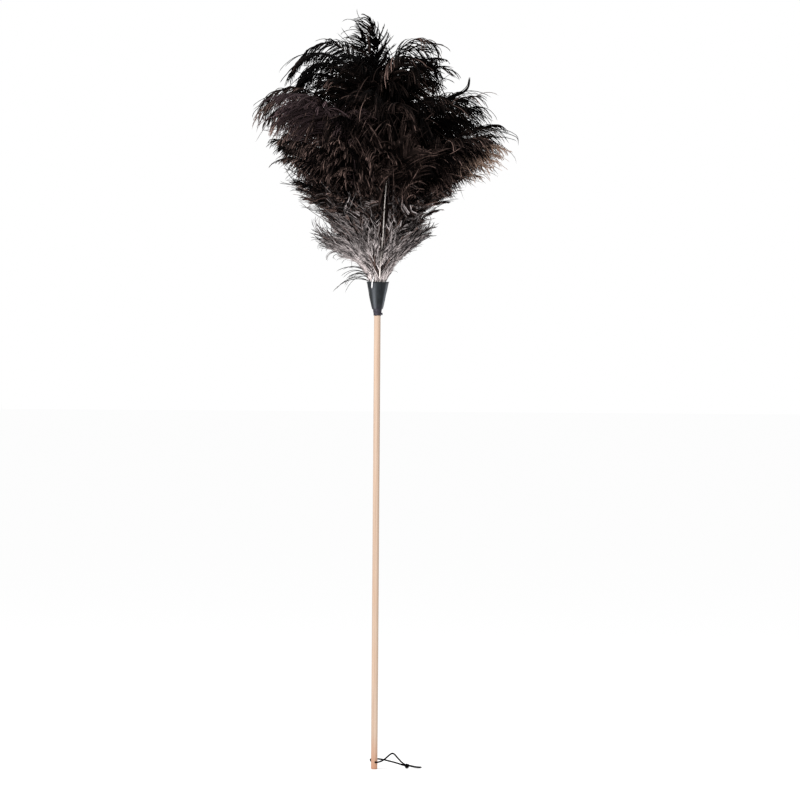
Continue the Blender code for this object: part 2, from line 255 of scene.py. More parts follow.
def steel_looks():
    looks = Looks("binding_steel")
    draw = looks.noise((2500.0, 2500.0, 2500.0), detail=2.0)
    looks.colour(looks.ramp(draw, [(0.3, (0.42, 0.42, 0.43)), (0.7, (0.66, 0.66, 0.67))]))
    looks.roughness(looks.levels(draw, 0.3, 0.7, 0.28, 0.45))
    looks.set(Metallic=1.0)
    return looks.material


def barb_looks(name):
    """Barbs take their colours from the strands' own attribute, with fine mottling along them."""
    looks = Looks(name)
    attribute = looks.tree.nodes.new("ShaderNodeAttribute")
    attribute.attribute_name = "strand_colour"
    mottle = looks.noise((420.0, 420.0, 420.0), detail=3.0)
    shaded = looks.ramp(mottle, [(0.3, (0.62, 0.60, 0.60)), (0.7, (1.0, 1.0, 1.0))])
    looks.colour(looks.mix(1.0, attribute.outputs["Color"], shaded, blend="MULTIPLY"))
    looks.set(Roughness=0.6, Specular_IOR_Level=0.02)
    return looks.material


# ---- Cords and knot --------------------------

HOLE_Z = 0.0104
HOLE_TURN = math.radians(24.0)
DOWEL_R = 0.00475
BORE_R = 0.00155
CORD_DIAMETER = 0.0024
KNOT_AT = (0.0525, 0.0, 0.0040)
TAIL_START = 0.0567
TAIL_LENGTH = 0.0180
TAIL_DROP = 0.0026
TAIL_TAPER = (1.0, 0.93, 0.8)
TAIL_SPLAY = 0.0006
CORD_APART = 0.0014
FRONT_LIFT = 0.0004
CORD_POINTS = 110
CURVE_STEPS = 16

# The knot's turns: their radius, how far it sways and how deep they weave, and the cord pulled thin in them
KNOT_RING = 0.00190
KNOT_SWAY = 0.00080
KNOT_DEPTH = 0.00110
KNOT_START = math.radians(250.0)
KNOT_POINTS = 72
KNOT_THINNING = 0.9

# From the middle of the hole to the knot: (out from the bore's axis, along the bore to the front, height)
FRONT_STRAND = (
    (0.0000, 0.0000, 0.0104),
    (0.0000, 0.0035, 0.0104),
    (0.0004, 0.0062, 0.0104),
    (0.0027, 0.0089, 0.0109),
    (0.0067, 0.0103, 0.0123),
    (0.0112, 0.0100, 0.0145),
    (0.0168, 0.0088, 0.0182),
    (0.0223, 0.0074, 0.0219),
    (0.0262, 0.0066, 0.0230),
    (0.0298, 0.0059, 0.0215),
    (0.0340, 0.0050, 0.0174),
    (0.0408, 0.0035, 0.0111),
    (0.0443, 0.0026, 0.0084),
    (0.0482, 0.0016, 0.0062),
)
BACK_STRAND = (
    (0.0000, 0.0000, 0.0104),
    (0.0000, -0.0035, 0.0104),
    (-0.0003, -0.0061, 0.0106),
    (-0.0010, -0.0089, 0.0115),
    (-0.0009, -0.0118, 0.0129),
    (0.0012, -0.0142, 0.0141),
    (0.0050, -0.0150, 0.0146),
    (0.0112, -0.0137, 0.0143),
    (0.0186, -0.0115, 0.0134),
    (0.0240, -0.0098, 0.0121),
    (0.0380, -0.0056, 0.0083),
    (0.0446, -0.0030, 0.0060),
    (0.0482, -0.0016, 0.0049),
)


def swing_place(out, along, height):
    """A place from how far it is out from the bore's axis and along it to the front, and its height."""
    c, s = math.cos(HOLE_TURN), math.sin(HOLE_TURN)
    return np.array((out * c + along * s, out * s - along * c, height))


def smooth_line(points, count):
    """count points, evenly spread, on a smooth curve through points."""
    points = np.asarray(points, float)
    knots = np.vstack([2 * points[0] - points[1], points, 2 * points[-1] - points[-2]])
    t = np.linspace(0.0, 1.0, CURVE_STEPS, endpoint=False)[:, None]
    runs = []
    for a, b, c, d in zip(knots, knots[1:], knots[2:], knots[3:]):
        square = (2 * a - 5 * b + 4 * c - d) * t**2
        cube = (3 * b - a - 3 * c + d) * t**3
        runs.append(0.5 * (2 * b + (c - a) * t + square + cube))
    fine = np.vstack([*runs, points[-1:]])
    reach = np.concatenate([[0.0], np.cumsum(np.linalg.norm(np.diff(fine, axis=0), axis=1))])
    wanted = np.linspace(0.0, reach[-1], count)
    return np.column_stack([np.interp(wanted, reach, fine[:, i]) for i in range(3)])


def line_length(points):
    return float(np.linalg.norm(np.diff(points, axis=0), axis=1).sum())


def curve_through(name, points, radii, material, closed=False):
    """A round cord along points, as a curve with filled ends."""
    data = bpy.data.curves.new(name, "CURVE")
    data.dimensions = "3D"
    data.bevel_depth = CORD_DIAMETER / 2
    data.bevel_resolution = 5
    data.use_fill_caps = True
    spline = data.splines.new("POLY")
    spline.points.add(len(points) - 1)
    spline.use_cyclic_u = closed
    for point, place, radius in zip(spline.points, points, radii):
        point.co = (*place, 1.0)
        point.radius = radius
    return link(name, data, material)


def add_knot(material):
    """An overhand knot pulled tight: three turns round each other, its flat side to the front."""
    centre = swing_place(*KNOT_AT)
    right = swing_place(1.0, 0.0, 0.0)
    front = swing_place(0.0, 1.0, 0.0)
    up = np.array((0.0, 0.0, 1.0))
    points = []
    for t in np.linspace(0.0, 2 * math.pi, KNOT_POINTS, endpoint=False):
        out = KNOT_RING + KNOT_SWAY * math.cos(3 * t)
        turn = 2 * t + KNOT_START
        flat = centre + right * (out * math.cos(turn)) + up * (out * math.sin(turn))
        points.append(flat + front * (KNOT_DEPTH * math.sin(3 * t)))
    return curve_through("hang_knot_turns", points, [KNOT_THINNING] * len(points), material, closed=True)


def add_cord(name, strand, side, lift, material):
    """One half of the cord: from mid-hole along its strand, through the knot and on into its tail."""
    route = [swing_place(*place) for place in strand]
    route.append(swing_place(KNOT_AT[0], side * CORD_APART, KNOT_AT[2] + lift))
    for t in np.linspace(0.0, 1.0, 5):
        height = KNOT_AT[2] + lift - TAIL_DROP * math.sin(math.pi / 2 * t)
        apart = side * (CORD_APART + TAIL_SPLAY * t * t)
        route.append(swing_place(TAIL_START + TAIL_LENGTH * t, apart, height))
    points = smooth_line(route, CORD_POINTS)
    radii = np.ones(len(points))
    radii[-len(TAIL_TAPER):] = TAIL_TAPER
    return curve_through(name, points, radii, material), line_length(points)


def add_cords():
    material = cord_looks()
    knot = seat(add_knot(material), LOOP, "cord", "hang_knot")
    front, front_length = add_cord("hang_cord_front", FRONT_STRAND, 1.0, FRONT_LIFT, material)
    back, back_length = add_cord("hang_cord_back", BACK_STRAND, -1.0, 0.0, material)
    seat(front, LOOP, "cord", "hang_cord", "cord_tail_front")
    seat(back, LOOP, "cord", "hang_cord", "cord_tail_back")


# ---- Dowel -----------------------------------


BUTT_ROUNDING = 0.0020
DOWEL_SIDES = 96
BORE_SIDES = 32


def rod(sides, radius, length, place):
    """A round rod, as a new bmesh."""
    bm = bmesh.new()
    bmesh.ops.create_cone(
        bm, cap_ends=True, segments=sides, radius1=radius, radius2=radius, depth=length, matrix=place
    )
    return bm


def add_dowel():
    """The stick, its butt rounded and the cord's hole cut through it."""
    low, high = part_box("handle_dowel")
    radius = (high.x - low.x) / 2
    length = high.z - low.z
    bm = rod(DOWEL_SIDES, radius, length, Matrix.Translation((0.0, 0.0, low.z + length / 2)))
    rim = [e for e in bm.edges if all(v.co.z < length / 2 for v in e.verts)]
    bmesh.ops.bevel(bm, geom=rim, offset=BUTT_ROUNDING, segments=8, profile=0.5, affect="EDGES")
    dowel = link("dowel", mesh_from("dowel", bm), wood_looks())
    along = Matrix.Translation((0.0, 0.0, HOLE_Z)) @ Matrix.Rotation(HOLE_TURN, 4, "Z")
    bm = rod(BORE_SIDES, BORE_R, 4 * radius, along @ Matrix.Rotation(math.pi / 2, 4, "X"))
    bore = link("bore", mesh_from("bore", bm))
    cut = dowel.modifiers.new("hole", "BOOLEAN")
    cut.operation = "DIFFERENCE"
    cut.object = bore
    bpy.context.view_layer.update()
    done = bpy.data.meshes.new_from_object(dowel.evaluated_get(bpy.context.evaluated_depsgraph_get()))
    dowel.modifiers.clear()
    dowel.data = done
    bpy.data.objects.remove(bore)
    done.shade_smooth()
    done.set_sharp_from_angle(angle=math.radians(35.0))
    seat(dowel, BODY, "wood", "handle_dowel")


# ---- Collar and tape -------------------------


def ripple(angle, height, waves):
    """A sum of smooth waves round and up a sleeve; each wave is (turns, waves a metre up, phase, size)."""
    total = np.zeros_like(angle)
    for turns, rise, phase, size in waves:
        total = total + size * np.sin(turns * angle + 2 * math.pi * rise * height + phase)
    return total


def sleeve(name, outer, inner, painted_highlight, material):
    """A closed sleeve from two grids of points, rows up and columns round: its outer and its inner wall.

    The last argument is how much painted highlight the outer wall takes at each point, from 0 to 1."""
    rows, columns = outer.shape[:2]
    points = np.vstack([outer.reshape(-1, 3), inner.reshape(-1, 3)])
    faces = []
    second = rows * columns
    for i in range(rows - 1):
        for j in range(columns):
            k = (j + 1) % columns
            a, b, c, d = i * columns + j, i * columns + k, (i + 1) * columns + k, (i + 1) * columns + j
            faces.append((a, b, c, d))
            faces.append((second + d, second + c, second + b, second + a))
    top = (rows - 1) * columns
    for j in range(columns):
        k = (j + 1) % columns
        faces.append((top + j, top + k, second + top + k, second + top + j))
        faces.append((k, j, second + j, second + k))
    mesh = bpy.data.meshes.new(name)
    mesh.from_pydata(points.tolist(), [], faces)
    values = np.concatenate([np.clip(painted_highlight, 0.0, 1.0).ravel(), np.zeros(second)])
    mesh.attributes.new("painted_highlight", "FLOAT", "POINT").data.foreach_set("value", values.astype(np.float32))
    mesh.shade_smooth()
    mesh.set_sharp_from_angle(angle=math.radians(60.0))
    return link(name, mesh, material)


def ring_points(radius, angle, height):
    return np.stack([radius * np.cos(angle), radius * np.sin(angle), height], axis=-1)


COLLAR_SEAM = math.radians(-33.0)
COLLAR_WRINKLES = (
    (2, 9.0, 0.4, 0.00016),
    (5, -14.0, 1.9, 0.00012),
    (7, 22.0, 4.0, 0.00009),
    (11, -31.0, 0.8, 0.00006),
    (3, 60.0, 2.6, 0.00006),
    (17, 12.0, 5.1, 0.00004),
)
COLLAR_LIP = ((2, 0, 0.3, 0.00022), (5, 0, 1.1, 0.00016), (9, 0, 2.0, 0.00010))
COLLAR_HEM = ((3, 0, 0.9, 0.00020), (8, 0, 2.2, 0.00016), (21, 0, 0.5, 0.00012))
COLLAR_TOP_R = 0.0162
COLLAR_FOOT_R = 0.0081
COLLAR_TUCK = 0.0004
COLLAR_FLARE = 0.0005
COLLAR_INSET = 0.0003
COLLAR_THICKNESS = 0.0009
COLLAR_BORE_R = 0.0058
COLLAR_OVERLAP = 0.00080
COLLAR_FOLD = 0.00035
# Angles of the collar's lengthwise fold and of the painted highlight band beside it, in radians
FOLD_AT = -2.05
LEFT_BAND_AT = -2.02


def collar_radius(share):
    """The collar's outer radius at a share of its height: a cone with a tucked foot and a flared lip."""
    cone = COLLAR_FOOT_R + (COLLAR_TOP_R - COLLAR_FOOT_R) * share**0.96
    tuck = COLLAR_TUCK * np.clip((0.09 - share) / 0.09, 0.0, 1.0) ** 2
    return cone - tuck + COLLAR_FLARE * np.clip((share - 0.93) / 0.07, 0.0, 1.0) ** 2


def band(angle, middle, width):
    """1 at an angle and fading to 0 on both sides of it."""
    return np.exp(-(((angle - middle) / width) ** 2))


def sleeve_grid(rows, columns):
    """(share of the height, angle) at the points of a sleeve, rows up and columns round."""
    share = np.linspace(0.0, 1.0, rows)[:, None]
    angle = np.linspace(-math.pi, math.pi, columns, endpoint=False)[None, :]
    return np.broadcast_arrays(share, angle)


def add_collar():
    """The wrap, with its overlap, a fold, wrinkles, and a painted highlight: a light band on its left and a
    light line along its seam.
    """
    low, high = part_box("collar")
    share, angle = sleeve_grid(72, 240)
    foot = low.z + ripple(angle, 0.0 * angle, COLLAR_HEM)
    rim = high.z + ripple(angle, 0.0 * angle, COLLAR_LIP)
    height = foot + (rim - foot) * share
    past_seam = (angle - COLLAR_SEAM) % (2 * math.pi)
    overlap = COLLAR_OVERLAP * np.clip(1.0 - past_seam / 1.1, 0.0, 1.0) * np.clip(past_seam / 0.05, 0.0, 1.0)
    fold = COLLAR_FOLD * band(angle - FOLD_AT, 0.5 * share, 0.10) * np.sin(math.pi * share)
    wall = collar_radius(share) - COLLAR_INSET + ripple(angle, height, COLLAR_WRINKLES) + overlap + fold
    inner = np.maximum(wall - COLLAR_THICKNESS, COLLAR_BORE_R)
    # Painted highlight: a light band on the left, where the key light falls, and a light line along the
    # seam's step.
    left_highlight = 0.85 * band(angle, LEFT_BAND_AT, 0.26) * (1.0 - 0.3 * share)
    seam_highlight = 1.2 * band(angle - COLLAR_SEAM, 0.06, 0.16) * (1.0 - 0.5 * share**3)
    painted_highlight = (left_highlight + seam_highlight) * np.clip((0.97 - share) / 0.02, 0.0, 1.0)
    obj = sleeve(
        "collar_wrap",
        ring_points(wall, angle, height),
        ring_points(inner, angle, height),
        painted_highlight,
        vinyl_looks("slate_vinyl", (0.0056, 0.0070, 0.0082), (0.125, 0.135, 0.150), 0.3),
    )
    seat(obj, BODY, "collar", "collar")


TAPE_HEM = ((4, 0, 0.2, 0.00022), (11, 0, 1.3, 0.00018), (23, 0, 2.9, 0.00010))
TAPE_WRINKLES = ((6, 55.0, 0.7, 0.00006), (13, -80.0, 2.0, 0.00004))
TAPE_FOOT_R = 0.0053
TAPE_SPREAD = 0.0012
TAPE_TURNS = 2.6
TAPE_LAYER = 0.00016
TAPE_GAP = 0.0003
TAPE_THICKNESS = 0.00025
TAPE_HIGHLIGHT_AT = -1.93
# The loose end: its radius and how far it bends out, its start and reach in degrees, its height and foot
TAPE_END_R = 0.0061
TAPE_END_BEND = 0.0019
TAPE_END_FROM = -50.0
TAPE_END_REACH = 26.0
TAPE_END_HEIGHT = 0.0030
TAPE_END_FOOT = 0.0014


def boundary(grid):
    """The vertices round the edge of a grid, in order."""
    top, bottom = grid[-1], grid[0]
    right = [line[-1] for line in grid[1:-1]]
    left = [line[0] for line in grid[1:-1]]
    return [*bottom, *right, *top[::-1], *left[::-1]]


def add_tape_end(mesh, foot):
    """Adds the tape's loose end to the band's mesh: a closed flap, bent outwards."""
    rows, columns = 6, 14
    grid = []
    for i in range(rows + 1):
        line = []
        for j in range(columns + 1):
            t, h = j / columns, i / rows
            out = TAPE_END_R + TAPE_END_BEND * t**1.6
            around = math.radians(TAPE_END_FROM + TAPE_END_REACH * t)
            rise = foot + TAPE_END_FOOT + TAPE_END_HEIGHT * h - 0.0006 * t + 0.0003 * math.sin(5 * t + 3 * h)
            line.append((out * math.cos(around), out * math.sin(around), rise))
        grid.append(line)
    bm = bmesh.new()
    bm.from_mesh(mesh)
    rims = []
    for thickness in (0.0, TAPE_THICKNESS):
        grown = 1 + thickness / 0.006
        verts = [[bm.verts.new((x * grown, y * grown, z)) for x, y, z in line] for line in grid]
        for i in range(rows):
            for j in range(columns):
                corners = [verts[i][j], verts[i][j + 1], verts[i + 1][j + 1], verts[i + 1][j]]
                bm.faces.new(corners if thickness else corners[::-1])
        rims.append(boundary(verts))
    near, far = rims
    for a, b, c, d in zip(near, near[1:] + near[:1], far, far[1:] + far[:1]):
        bm.faces.new((a, b, d, c))
    bm.to_mesh(mesh)
    bm.free()


def add_tape():
    """The turns of tape under the collar, their layers' edges showing, and the loose end."""
    low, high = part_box("collar_tape")
    share, angle = sleeve_grid(44, 200)
    hem = ripple(angle, 0.0 * angle, TAPE_HEM)
    height = low.z + hem * (1 - share) + (high.z - low.z) * share
    cone = TAPE_FOOT_R + TAPE_SPREAD * np.clip(share / 0.69, 0.0, 1.0)
    turn = (share * TAPE_TURNS + angle / (2 * math.pi)) % 1.0
    layers = TAPE_LAYER * turn * np.clip((1.0 - turn) / 0.05, 0.0, 1.0)
    wall = cone + layers + ripple(angle, height, TAPE_WRINKLES)
    inner = np.full_like(wall, DOWEL_R + TAPE_GAP)
    points_out, points_in = ring_points(wall, angle, height), ring_points(inner, angle, height)
    # Painted highlight: the tape is lighter on its left, where the key light falls.
    painted_highlight = band(angle, TAPE_HIGHLIGHT_AT, 0.42) * (1.0 - turn)
    material = vinyl_looks("dark_tape", (0.008, 0.009, 0.012), (0.080, 0.075, 0.095), 0.45)
    obj = sleeve("tape_band", points_out, points_in, painted_highlight, material)
    add_tape_end(obj.data, low.z)
    obj.data.shade_smooth()
    obj.data.set_sharp_from_angle(angle=math.radians(50.0))
    seat(obj, BODY, "tape", "collar_tape")


def dress_wires():
    steel = steel_looks()
    for name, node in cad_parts.items():
        if name.startswith("binding_wire"):
            node.data.materials.clear()
            node.data.materials.append(steel)


# ---- Plumes ----------------------------------

MOUTH_Z = 0.711
RINGS = 12
RACHIS_POINTS = 120
RANDOM_SEED = 4100
UNIT_DOWN = np.array((0.0, 0.0, -1.0))
UNIT_LEFT = np.array((-1.0, 0.0, 0.0))

# Where a plume changes, in metres: (the height where a change starts, the height that it takes)
PLUME_FREE = (MOUTH_Z, 0.12)
SHAFT_SWELLS = (MOUTH_Z, 0.02)
FORWARD_STARTS = (MOUTH_Z, 0.018)
FORWARD_ENDS = (0.84, 0.06)
DROOP_STARTS = (0.79, 0.07)
DARK_SPAN = 0.05
SHAFT_SPAN = 0.03
TAN_STARTS = (0.120, 0.055)  # out from the axis

ROLL = 24.0  # the usual twist of a plume about its own line, in degrees
QUILL_SWING = 0.15  # the least share of its swing that a companion's quill takes
LOCK_SPREAD = 0.0016
BARB_WAVE = 0.0005
ROW_APART = 0.003

# The most that barbs may reach on each side, in metres, and how gently they are held in
REACH_LOW = np.array((-0.186, -0.178, 0.690))
REACH_HIGH = np.array((0.2035, 0.179, 1.109))
REACH_SOFTNESS = np.array((0.008, 0.028, 0.008))

# The head's outline, in metres: (height, radius on its left, radius on its right)
OUTLINE = (
    (0.705, 0.036, 0.016),
    (0.735, 0.052, 0.027),
    (0.760, 0.062, 0.042),
    (0.790, 0.074, 0.062),
    (0.818, 0.082, 0.062),
    (0.832, 0.090, 0.104),
    (0.860, 0.112, 0.132),
    (0.900, 0.131, 0.192),
    (0.945, 0.176, 0.156),
    (0.975, 0.176, 0.138),
    (1.005, 0.160, 0.112),
    (1.035, 0.154, 0.078),
    (1.062, 0.130, 0.070),
    (1.080, 0.086, 0.045),
    (1.100, 0.055, 0.030),
)
OUTLINE_HEIGHTS, OUTLINE_LEFT, OUTLINE_RIGHT = zip(*OUTLINE)
# How far out barbs may reach, as shares of the outline, the free ones' extra at the sides, and the least size
TRIM_SLACK = (0.80, 1.06)
FREE_REACH = 0.28
SHORTEST_TRIM = 0.50

BLACK = np.array((0.0014, 0.0010, 0.0010))
BROWN_AND_SHEEN = np.array((0.260, 0.175, 0.150))
TAN = np.array((0.50, 0.35, 0.27))
PALE = np.array((0.93, 0.84, 0.83))
WHITE = np.array((0.96, 0.96, 0.96))
TAUPE = np.array((0.012, 0.0085, 0.008))
MAUVE_SHEEN = np.array((0.26, 0.178, 0.195))
HORN = np.array((0.80, 0.74, 0.70))
SHAFT_BROWN = np.array((0.045, 0.026, 0.018))

# What every plume is like, then where each tier differs from that, and then where single plumes differ:
#   locks, barbs       the locks of barbs on each side of the vane, and the barbs in one
#   length, width      the longest barb, and a barb's radius, in metres
#   flare, tilt        its angle to the rachis at the vane's middle, and to the plume's underside, in degrees
#   droop, curl, lean  its turning to the ground, about the lock's axis and to the left, in radians a metre
#   full               1 for barbs that are long from the vane's start
#   low                over 1 crowds the locks towards the collar, under 1 towards the tip
#   wisps, hanging     the free barbs beside the locks, and those that hang out over the collar's rim
#   tone, even         how far the dark barbs turn brown, partly as painted sheen, and how little a plume's locks differ in that
#   tan, mauve         how far they turn light brown at the head's side, or mauve, which is a painted purple-grey sheen
#   dark_from          the height where pale down turns to dark barbs, in metres
#   shaft, pale_shaft  the shaft's radius, and the height where it turns from pale to brown, in metres
#   turn, stretch      how far the plume is swung round the dowel, in degrees, and lengthened
#   sway, forward      how far its line weaves sideways, and its lower part comes forward, in metres
#   beside             the companions in the piece, as in COMPANIONS
DEFAULT_LOOKS = {
    "barbs": 3, "tilt": 14.0, "lean": 0.0, "full": 0.0, "low": 0.92, "wisps": 12, "hanging": 0, "even": 0.0,
    "tan": 0.0, "mauve": 0.0, "dark_from": 0.754, "shaft": 0.0008, "pale_shaft": 0.735, "turn": 0.0,
    "stretch": 1.0, "sway": 0.008, "forward": 0.0,
}
TIER_LOOKS = {
    "core": {
        "locks": 46, "length": 0.074, "width": 0.00112,
        "droop": 26.0, "curl": 12.0, "flare": 50.0, "tone": 0.5,
    },
    "inner": {
        "locks": 46, "length": 0.096, "width": 0.00100,
        "droop": 28.0, "curl": 5.0, "flare": 48.0, "tone": 0.5,
    },
    "middle": {
        "locks": 46, "length": 0.100, "width": 0.00094,
        "droop": 28.0, "curl": 4.0, "flare": 42.0, "tone": 0.8,
    },
    "outer": {
        "locks": 38, "length": 0.080, "width": 0.00090,
        "droop": 20.0, "curl": 4.5, "flare": 40.0, "tone": 1.0,
    },
    "base": {
        "locks": 50, "barbs": 2, "length": 0.062, "droop": 0.0, "curl": 9.0, "flare": 26.0, "tone": 0.8,
        "width": 0.00064, "full": 0.6, "low": 1.7, "wisps": 24,
    },
}
# A free barb's values as shares of its plume's
FREE_BARBS = {"length": 1.35, "curl": 2.2, "droop": 0.5}
# More plumes are tied in beside each one of the frame's, which is the main one of its piece:
# (turn round the dowel as a share of the sector, length as a share of the main plume's)
MAIN_PLUME = (0.0, 1.0)
COMPANIONS = {
    "core": ((-0.36, 0.90), (0.28, 0.96), (0.08, 0.80)),
    "inner": ((-0.34, 0.88), (0.32, 0.95)),
    "middle": ((-0.33, 0.88), (0.30, 0.94)),
    "outer": ((-0.33, 0.86), (0.30, 0.93)),
    "base": ((0.42, 0.85), (-0.2, 0.7)),
}
CLOSE_COMPANIONS = ((0.10, 0.96), (-0.12, 0.92), (0.22, 0.87), (-0.05, 0.80))
SECTORS = {"core": 45.0, "inner": 45.0, "middle": 36.0, "outer": 36.0, "base": 30.0}
PLUME_LOOKS = {
    "plume_core_01": {
        "locks": 26, "curl": 15.0, "droop": 30.0, "tone": 2.4, "stretch": 1.03, "beside": CLOSE_COMPANIONS,
    },
    "plume_core_02": {"locks": 32},
    "plume_core_04": {
        "locks": 64, "curl": 5.0, "droop": 36.0, "flare": 44.0, "tone": 0.3, "wisps": 34, "stretch": 1.045,
        "length": 0.060, "beside": CLOSE_COMPANIONS,
    },
    "plume_core_05": {
        "locks": 50, "droop": 17.0, "lean": 7.0, "flare": 52.0, "curl": 11.0, "length": 0.072, "wisps": 24,
        "tone": 1.0, "turn": 46.0, "stretch": 1.035, "beside": ((0.25, 0.96), (-0.25, 0.92)),
    },
    "plume_core_07": {"tone": 1.7, "even": 0.1, "droop": 36.0, "curl": 5.0, "length": 0.088},
    "plume_core_08": {"locks": 32, "length": 0.064},
    "plume_inner_04": {
        "tone": 2.1, "even": 0.3, "droop": 32.0, "length": 0.092, "beside": CLOSE_COMPANIONS,
    },
    "plume_inner_05": {
        "mauve": 0.55, "even": 0.6, "curl": 3.0, "droop": 14.0, "beside": CLOSE_COMPANIONS[:2],
    },
    "plume_inner_06": {"tone": 0.9, "even": 0.2, "droop": 32.0},
    "plume_middle_09": {
        "shaft": 0.0012, "pale_shaft": 0.86, "turn": -8.0, "sway": 0.0, "forward": 0.014, "droop": 9.0,
        "curl": 3.0, "full": 1.0, "flare": 27.0, "tilt": -8.0, "even": 0.6, "tone": 0.6, "dark_from": 0.715,
        "beside": ((0.32, 0.94), (-0.36, 0.84)),
    },
    "plume_outer_01": {"stretch": 0.70},
    "plume_outer_10": {
        "tan": 1.0, "even": 0.5, "flare": 58.0, "droop": 34.0, "curl": 3.0, "length": 0.050,
        "beside": CLOSE_COMPANIONS,
    },
    "plume_base_06": {"wisps": 34},
    "plume_base_07": {"wisps": 34, "hanging": 14},
    "plume_base_09": {"stretch": 0.72},
    "plume_base_10": {"stretch": 0.60},
}
QUILL_PLUME = "plume_base_09"
HOOK_PLUME = "plume_inner_08"
FRONT_PLUME = "plume_middle_09"

# The front plume's pale shaft shows between these heights; barbs in front of it keep this far from its middle
SHAFT_SEEN = (0.722, 0.852)
SHAFT_CLEAR_OWN = 0.0014
SHAFT_CLEAR = 0.0026
SHAFT_DEPTH = 0.0008

# The small feather's end that hangs out over the collar's rim, and the hooked tip on the right
QUILL_ROUTE = (
    (-0.0036, -0.0090, 0.7240),
    (-0.0050, -0.0132, 0.7185),
    (-0.0070, -0.0163, 0.7135),
    (-0.0077, -0.0169, 0.7105),
    (-0.0080, -0.0166, 0.7060),
    (-0.0083, -0.0158, 0.7012),
)
QUILL_POINTS = 24
QUILL_R = 0.00085
HOOK_ROUTE = (
    (0.092, -0.016, 0.968),
    (0.108, -0.018, 0.981),
    (0.121, -0.020, 0.987),
    (0.1305, -0.020, 0.997),
    (0.1325, -0.020, 1.011),
)
HOOK_BARBS = 16
HOOK_BARB_R = 0.0012

# The barbs that hang out over the collar's rim: where they start, and their shade and width against others
HANGING_START_R = 0.013
HANGING_SHADE = 0.12
HANGING_WIDTH = 1.4

BARB_FLATNESS = 0.7
QUILL_FOOT_R = 0.00062
SHAFT_TIP_R = 0.00016


def ease(t):
    """0 to 1 as t goes from 0 to 1, starting and ending gently."""
    t = np.clip(t, 0.0, 1.0)
    return t * t * (3 - 2 * t)


def rise(value, start, span):
    """0 up to start, 1 from start + span on, and a gentle step between them."""
    return ease((value - start) / span)


def ring_shares():
    """The share of its length that each ring of a barb is at."""
    return np.linspace(0.0, 1.0, RINGS)[None, :, None]


def unit(vectors):
    return vectors / np.linalg.norm(vectors, axis=-1, keepdims=True)


def plume_line(node):
    """The middle line of a CAD plume, from its foot to its tip, read from the rows of its mesh."""
    points = np.array([v.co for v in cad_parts[node].data.vertices], float)
    profile = np.column_stack([np.hypot(points[:, 0], points[:, 1]), points[:, 2]])
    left = np.arange(len(points))
    centres = []
    while len(left):
        near = np.linalg.norm(profile[left] - profile[left[0]], axis=1) < ROW_APART
        centres.append(points[left[near]].mean(axis=0))
        left = left[~near]
    centres = sorted(centres, key=lambda p: p[2])
    line = [centres.pop(0)]
    while centres:
        nearest = min(range(len(centres)), key=lambda i: np.linalg.norm(centres[i] - line[-1]))
        line.append(centres.pop(nearest))
    return np.array(line)


def hold_in(points):
    """Points past the object's box are brought back to it gently."""
    start = REACH_HIGH - REACH_SOFTNESS
    over = np.maximum(points - start, 0.0)
    points = np.minimum(points, start) + REACH_SOFTNESS * np.tanh(over / REACH_SOFTNESS)
    start = REACH_LOW + REACH_SOFTNESS
    under = np.maximum(start - points, 0.0)
    return np.maximum(points, start) - REACH_SOFTNESS * np.tanh(under / REACH_SOFTNESS)


class Rachis:
    """A plume's own line, with the directions along it, to its side and to its underside.

    turn swings it round the dowel, growing from the collar's mouth, and size is its length beyond there as a
    share of the CAD plume's; looks may stretch it, and give its sway and how far forward it comes."""

    def __init__(self, node, rng, turn, size, looks):
        size = size * looks["stretch"]
        line = smooth_line(plume_line(node), RACHIS_POINTS)
        share = np.linspace(0.0, 1.0, len(line))
        free = rise(line[:, 2], *PLUME_FREE)
        mouth = line[np.argmax(line[:, 2] > MOUTH_Z)]
        above = (line[:, 2] > MOUTH_Z)[:, None]
        line = np.where(above, mouth + (line - mouth) * size, line)
        angle = turn * np.maximum(free, QUILL_SWING)
        c, s = np.cos(angle), np.sin(angle)
        line = np.column_stack([c * line[:, 0] - s * line[:, 1], s * line[:, 0] + c * line[:, 1], line[:, 2]])
        azimuth = math.atan2(line[-1, 1], line[-1, 0])
        across = np.array((-math.sin(azimuth), math.cos(azimuth), 0.0))
        wave = np.sin(share * rng.uniform(2.5, 5.0) + rng.uniform(0.0, 6.28))
        line = line + across * (looks["sway"] * free * (wave - wave[0]))[:, None]
        low_part = 1.0 - rise(line[:, 2], *FORWARD_ENDS)
        line[:, 1] -= looks["forward"] * rise(line[:, 2], *FORWARD_STARTS) * low_part
        self.line = line
        self.share = share
        tangent = unit(np.gradient(line, axis=0))
        side = unit(across - tangent * (tangent @ across)[:, None])
        under = np.cross(side, tangent)
        roll = math.radians(rng.normal(0.0, ROLL)) * free[:, None]
        self.side = side * np.cos(roll) + under * np.sin(roll)
        self.under = under * np.cos(roll) - side * np.sin(roll)
        self.tangent = tangent
        self.mouth = share[np.argmax(line[:, 2] > MOUTH_Z - 0.001)]

    def at(self, share):
        """(place, along, side, under) at shares of the whole length."""
        found = []
        for grid in (self.line, self.tangent, self.side, self.under):
            found.append(np.column_stack([np.interp(share, self.share, grid[:, i]) for i in range(3)]))
        return found


def drift(vane, hand, rng):
    """Smooth random numbers along the vane, different on its two sides, of about -1 to 1."""
    total = 0.0
    for waves in (0.7, 1.6, 3.1):
        phase = rng.uniform(0.0, 2 * math.pi, 2)
        phase = np.where(hand > 0, phase[0], phase[1])
        total = total + rng.uniform(0.3, 0.8) * np.sin(2 * math.pi * waves * vane + phase)
    return total


